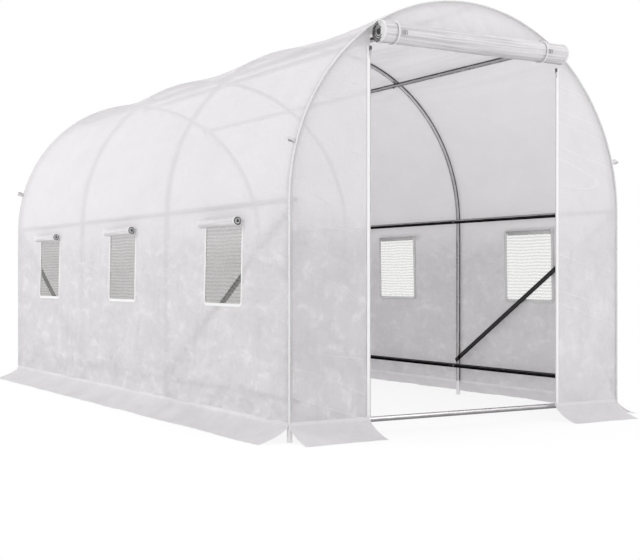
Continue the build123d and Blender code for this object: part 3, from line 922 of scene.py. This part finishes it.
# Guy loops
LOOP_HALF = [(0.0000, 0.0022), (0.0060, 0.0028), (0.0140, 0.0045), (0.0240, 0.0058),
             (0.0320, 0.0056), (0.0370, 0.0040), (0.0392, 0.0016)]


def guy_loop(name, side, end):
    """A strip of webbing folded into a loop, a little open and turned down at one edge."""
    rise, lean, thick = asin(0.267), radians(42), 0.0006
    out = np.array([side * cos(rise), 0, sin(rise)])
    along = np.array([-side * sin(rise), 0, cos(rise)])
    back = np.array([0, 1.0, 0])
    depth = back * cos(lean) + along * end * sin(lean)
    width = along * cos(lean) - back * end * sin(lean)
    foot = np.array([0, end * 2.004, SPRING]) + out * HALF_W
    path = np.array(LOOP_HALF + [(a, -b) for a, b in LOOP_HALF[::-1]])
    step = np.gradient(path, axis=0)
    normal = np.stack([step[:, 1], -step[:, 0]], -1) / np.hypot(step[:, 0], step[:, 1])[:, None]
    across = np.linspace(-0.0125, 0.0125, 7)
    ring = [(w, thick) for w in across] + [(w, -thick) for w in across[::-1]]
    pts = []
    for ((a, b), (na, nb)), (w, off) in product(zip(path, normal), ring):
        sag = 0.0012 * (w / 0.0125) * (a / 0.04) ** 2
        pts.append(foot + out * (a + na * off) + depth * (b + nb * off + sag) + width * w)
    obj = add_mesh(name, pts, grid_faces(len(path), len(ring), closed=True), STRAP)
    fit(obj, "guy_loops")


for side, word in SIDES:
    guy_loop("front_%s_guy_loop" % word, side, -1)
    guy_loop("back_%s_guy_loop" % word, side, 1)


# Windows: binding round each opening, and the mesh behind it
OUTER_TAPE = [(-0.004, -0.0008), (-0.0045, 0.0004), (-0.0035, 0.0014), (0.009, 0.0014),
              (0.0105, 0.0008), (0.0105, -0.0008)]
INNER_TAPE = [(-0.0060, -0.0048), (-0.0055, -0.0060), (0.0120, -0.0060), (0.0125, -0.0048)]
WIN_LAP = 0.004


def window_outline(corner=0.018, size=0.012):
    """Places down, along and up a window's bound edge, with the direction away from it."""
    head, low, half = WIN_TOP + WIN_LAP, WIN_SILL + corner, WIN_HALF - corner
    bend = np.linspace(0, pi / 2, 6)
    out = [(-WIN_HALF, z, -1.0, 0.0) for z in steps(head, low, size=size)]
    out += [(-half - corner * cos(t), low - corner * sin(t), -cos(t), -sin(t)) for t in bend[1:]]
    out += [(y, WIN_SILL, 0.0, -1.0) for y in steps(-half, half, size=size)[1:]]
    out += [(half + corner * cos(t), low - corner * sin(t), cos(t), -sin(t))
            for t in bend[::-1][1:]]
    out += [(WIN_HALF, z, 1.0, 0.0) for z in steps(low, head, size=size)[1:]]
    return np.array(out)


def window_binding(side, word):
    """Tape on both faces of a wall, round each of its windows."""
    y, z, away_y, away_z = window_outline().T[:, :, None]
    pts, faces = [], []
    for centre, profile in product(BAY_MID, (OUTER_TAPE, INNER_TAPE)):
        across, proud = np.array(profile).T
        at_y, at_z = centre + y + away_y * across, z + away_z * across
        at_x = wall_x(side, at_y, at_z, proud)
        faces += (grid_faces(*at_x.shape, closed=True) + len(pts)).tolist()
        pts += np.stack([at_x, at_y, at_z], -1).reshape(-1, 3).tolist()
    fit(add_mesh(word + "_window_binding", pts, faces, TAPE), word + "_window_tape")


for side, word in SIDES:
    window_binding(side, word)
    for k, centre in enumerate(BAY_MID):
        y, z = np.meshgrid(steps(centre - WIN_HALF - WIN_LAP, centre + WIN_HALF + WIN_LAP,
                                 size=MESH_STEP),
                           steps(WIN_SILL - WIN_LAP, WIN_TOP + WIN_LAP, size=MESH_STEP))
        ripple = 0.0015 * noise(y / 0.09, z / 0.13, 120 + k)
        x = wall_x(side, y, z) - side * (0.003 + ripple)
        pane = add_sheet(word + "_mesh_pane_%d" % (k + 1), np.stack([x, y, z], -1),
                         np.stack([y, z], -1), MESH)
        fit(pane, word + "_window_mesh")


# Zips: tape, a coil of teeth and a slider at the top
ZIP_PROFILE = [(-0.0095, 0.0), (-0.0095, 0.0010), (-0.0088, 0.0014), (0.0088, 0.0014),
               (0.0095, 0.0010), (0.0095, 0.0)]


def block(name, centre, size, mat):
    """A block with chamfered edges."""
    half = np.array(size) / 2
    cut = min(size) * 0.22
    corners = []
    for signs in product((-1, 1), repeat=3):
        for keep in range(3):
            corner = np.array(signs) * (half - cut)
            corner[keep] = signs[keep] * half[keep]
            corners.append(corner)
    hull = bmesh.new()
    for i, corner in enumerate(corners):
        hull.verts.new(corner).index = i
    bmesh.ops.convex_hull(hull, input=list(hull.verts))
    hull.verts.index_update()
    faces = [[v.index for v in f.verts] for f in hull.faces]
    hull.free()
    return add_mesh(name, np.array(corners) + np.array(centre), faces, mat, smooth=False)


def door_zip(side, word):
    """One side's zip, from the ground to its slider and pull at the top."""
    x = side * (DOOR + 0.007)
    zs = steps(FOLD, ZIP_TOP, size=0.02)
    path = np.stack([np.full(len(zs), x + side * 0.002), np.full(len(zs), -HALF_L), zs], -1)
    pts = swept(path, np.tile([1.0, 0, 0], (len(zs), 1)), np.tile([0, -1.0, 0], (len(zs), 1)),
                ZIP_PROFILE)
    tape = add_mesh(word + "_zip_tape", pts.reshape(-1, 3), grid_faces(*pts.shape[:2], closed=True),
                    ZIP_TAPE)
    zs = np.arange(FOLD + 0.002, ZIP_TOP, 0.0008)
    swell = (0.0013 + 0.0006 * np.sin(2 * pi * np.arange(len(zs)) / 4))[:, None]
    ring = np.linspace(0, 2 * pi, 6, endpoint=False)
    x = x - side * 0.0060
    tooth = np.stack([x + swell * np.cos(ring), -HALF_L - 0.0014 - 0.6 * swell * (1 + np.sin(ring)),
                      np.repeat(zs[:, None], len(ring), 1)], -1)
    coil = add_mesh(word + "_zip_coil", tooth.reshape(-1, 3),
                    grid_faces(len(zs), len(ring), closed=True), COIL)
    slider = block(word + "_zip_slider", (x, -HALF_L - 0.0034, ZIP_TOP - 0.010),
                   (0.013, 0.0060, 0.022), SLIDER)
    pull = block(word + "_zip_pull", (x, -HALF_L - 0.0066, ZIP_TOP - 0.032),
                 (0.008, 0.0016, 0.030), COIL)
    for piece in (tape, coil, slider, pull):
        fit(piece, word + "_zip")


for side, word in SIDES:
    door_zip(side, word)


# Bolts
def bolt_heads():
    """Hexagon heads on the inside of every rail and purlin where it crosses a hoop."""
    seat, sides = RAIL_R - TUBE_R, 6
    rings = ((-0.001, 0.0075), (0.0035, 0.0075), (0.0045, 0.0062))
    pts, faces = [], []
    turns = np.linspace(0, 2 * pi, sides + 1)[:-1]
    for y0 in HOOP_Y:
        places = [((seat * cos(a), y0, SPRING + seat * sin(a)), (-cos(a), 0, -sin(a)))
                  for a in (pi / 2 - SHOULDER, pi / 2, pi / 2 + SHOULDER)]
        places += [((side * seat, y0, z), (-side, 0, 0))
                   for side in (-1, 1) for z in (MID_RAIL, LOW_RAIL)]
        for at, away in places:
            at, away = np.array(at), np.array(away, float)
            one = np.array([0.0, 1.0, 0.0])
            two = np.cross(away, one)
            top = len(pts) + (len(rings) - 1) * sides
            faces += (grid_faces(len(rings), sides, closed=True) + len(pts)).tolist()
            faces.append([top + i for i in range(sides)])
            for rise, r in rings:
                pts += [(at + away * rise + r * (cos(t) * one + sin(t) * two)).tolist()
                        for t in turns]
    fit(add_mesh("crossing_bolts", pts, faces, BOLT, smooth=False))


bolt_heads()


# Floor, backdrop and light
def stage_floor(half=24.0, drop=-0.0005):
    """A pale floor that keeps the shadow and fades to white away from the tunnel."""
    mat, nt, out = new_material("pale_floor")
    at = nt.nodes.new("ShaderNodeTexCoord").outputs["Object"]
    far = put(nt, "ShaderNodeVectorMath", {"operation": "LENGTH"}, Vector=at).outputs["Value"]
    fade = ramp(nt, calc(nt, "DIVIDE", far, 10.0), (0.20, 0.84), (0.36, 1.0))
    grain = ramp(nt, grainy(nt, at, 30.0, 3.0), (0.0, 0.96), (1.0, 0.98))
    plain = put(nt, "ShaderNodeBsdfDiffuse", Color=grain)
    white = put(nt, "ShaderNodeEmission", Color=(1, 1, 1, 1), Strength=1.0)
    path = nt.nodes.new("ShaderNodeLightPath").outputs
    seen = calc(nt, "MAXIMUM", path["Is Camera Ray"], path["Is Glossy Ray"])
    seen = calc(nt, "MAXIMUM", seen, path["Is Transmission Ray"])
    ground = mixed(nt, times(nt, fade, seen), plain, white)
    nt.links.new(ground.outputs[0], out.inputs["Surface"])
    corners = [(x, y, drop) for x, y in rectangle(half, half)]
    add_mesh("floor", corners, [(0, 1, 2, 3)], mat, smooth=False)


def studio_world():
    """White where it is seen straight on or through a surface, a soft dome of light otherwise."""
    world = bpy.data.worlds.new("studio")
    world.use_nodes = True
    nt = world.node_tree
    nt.nodes.clear()
    out = nt.nodes.new("ShaderNodeOutputWorld")
    dome = put(nt, "ShaderNodeBackground", Color=(1, 1, 1, 1), Strength=0.80)
    white = put(nt, "ShaderNodeBackground", Color=(1, 1, 1, 1), Strength=1.0)
    path = nt.nodes.new("ShaderNodeLightPath").outputs
    seen = calc(nt, "MAXIMUM", path["Is Camera Ray"], path["Is Transmission Ray"])
    nt.links.new(mixed(nt, seen, dome, white).outputs[0], out.inputs["Surface"])
    scene.world = world


def lamp(name, place, target, size, watts):
    """A square area light, turned to a target."""
    data = bpy.data.lights.new(name, "AREA")
    data.size = size
    data.energy = watts
    obj = bpy.data.objects.new(name, data)
    scene.collection.objects.link(obj)
    obj.location = place
    obj.rotation_euler = (Vector(target) - Vector(place)).to_track_quat("-Z", "Y").to_euler()


stage_floor()
studio_world()
lamp("key", (-6.2, 2.2, 4.6), (-0.6, 0.8, 1.0), 4.0, 196)
lamp("top", (0.5, -0.5, 7.0), (0, 0, 1.0), 4.0, 90)
lamp("front", (2.6, -6.4, 4.6), (0.2, -2.0, 1.2), 3.5, 86)

# Camera, at the photograph's place
cam_data = bpy.data.cameras.new("camera")
cam_data.lens = 66.37
cam_data.sensor_width = 36.0
cam = bpy.data.objects.new("camera", cam_data)
scene.collection.objects.link(cam)
cam.location = (-3.5686, -6.5441, 0.7298)
cam.rotation_euler = (radians(90 - 0.1055), 0, -radians(31.070))
scene.camera = cam
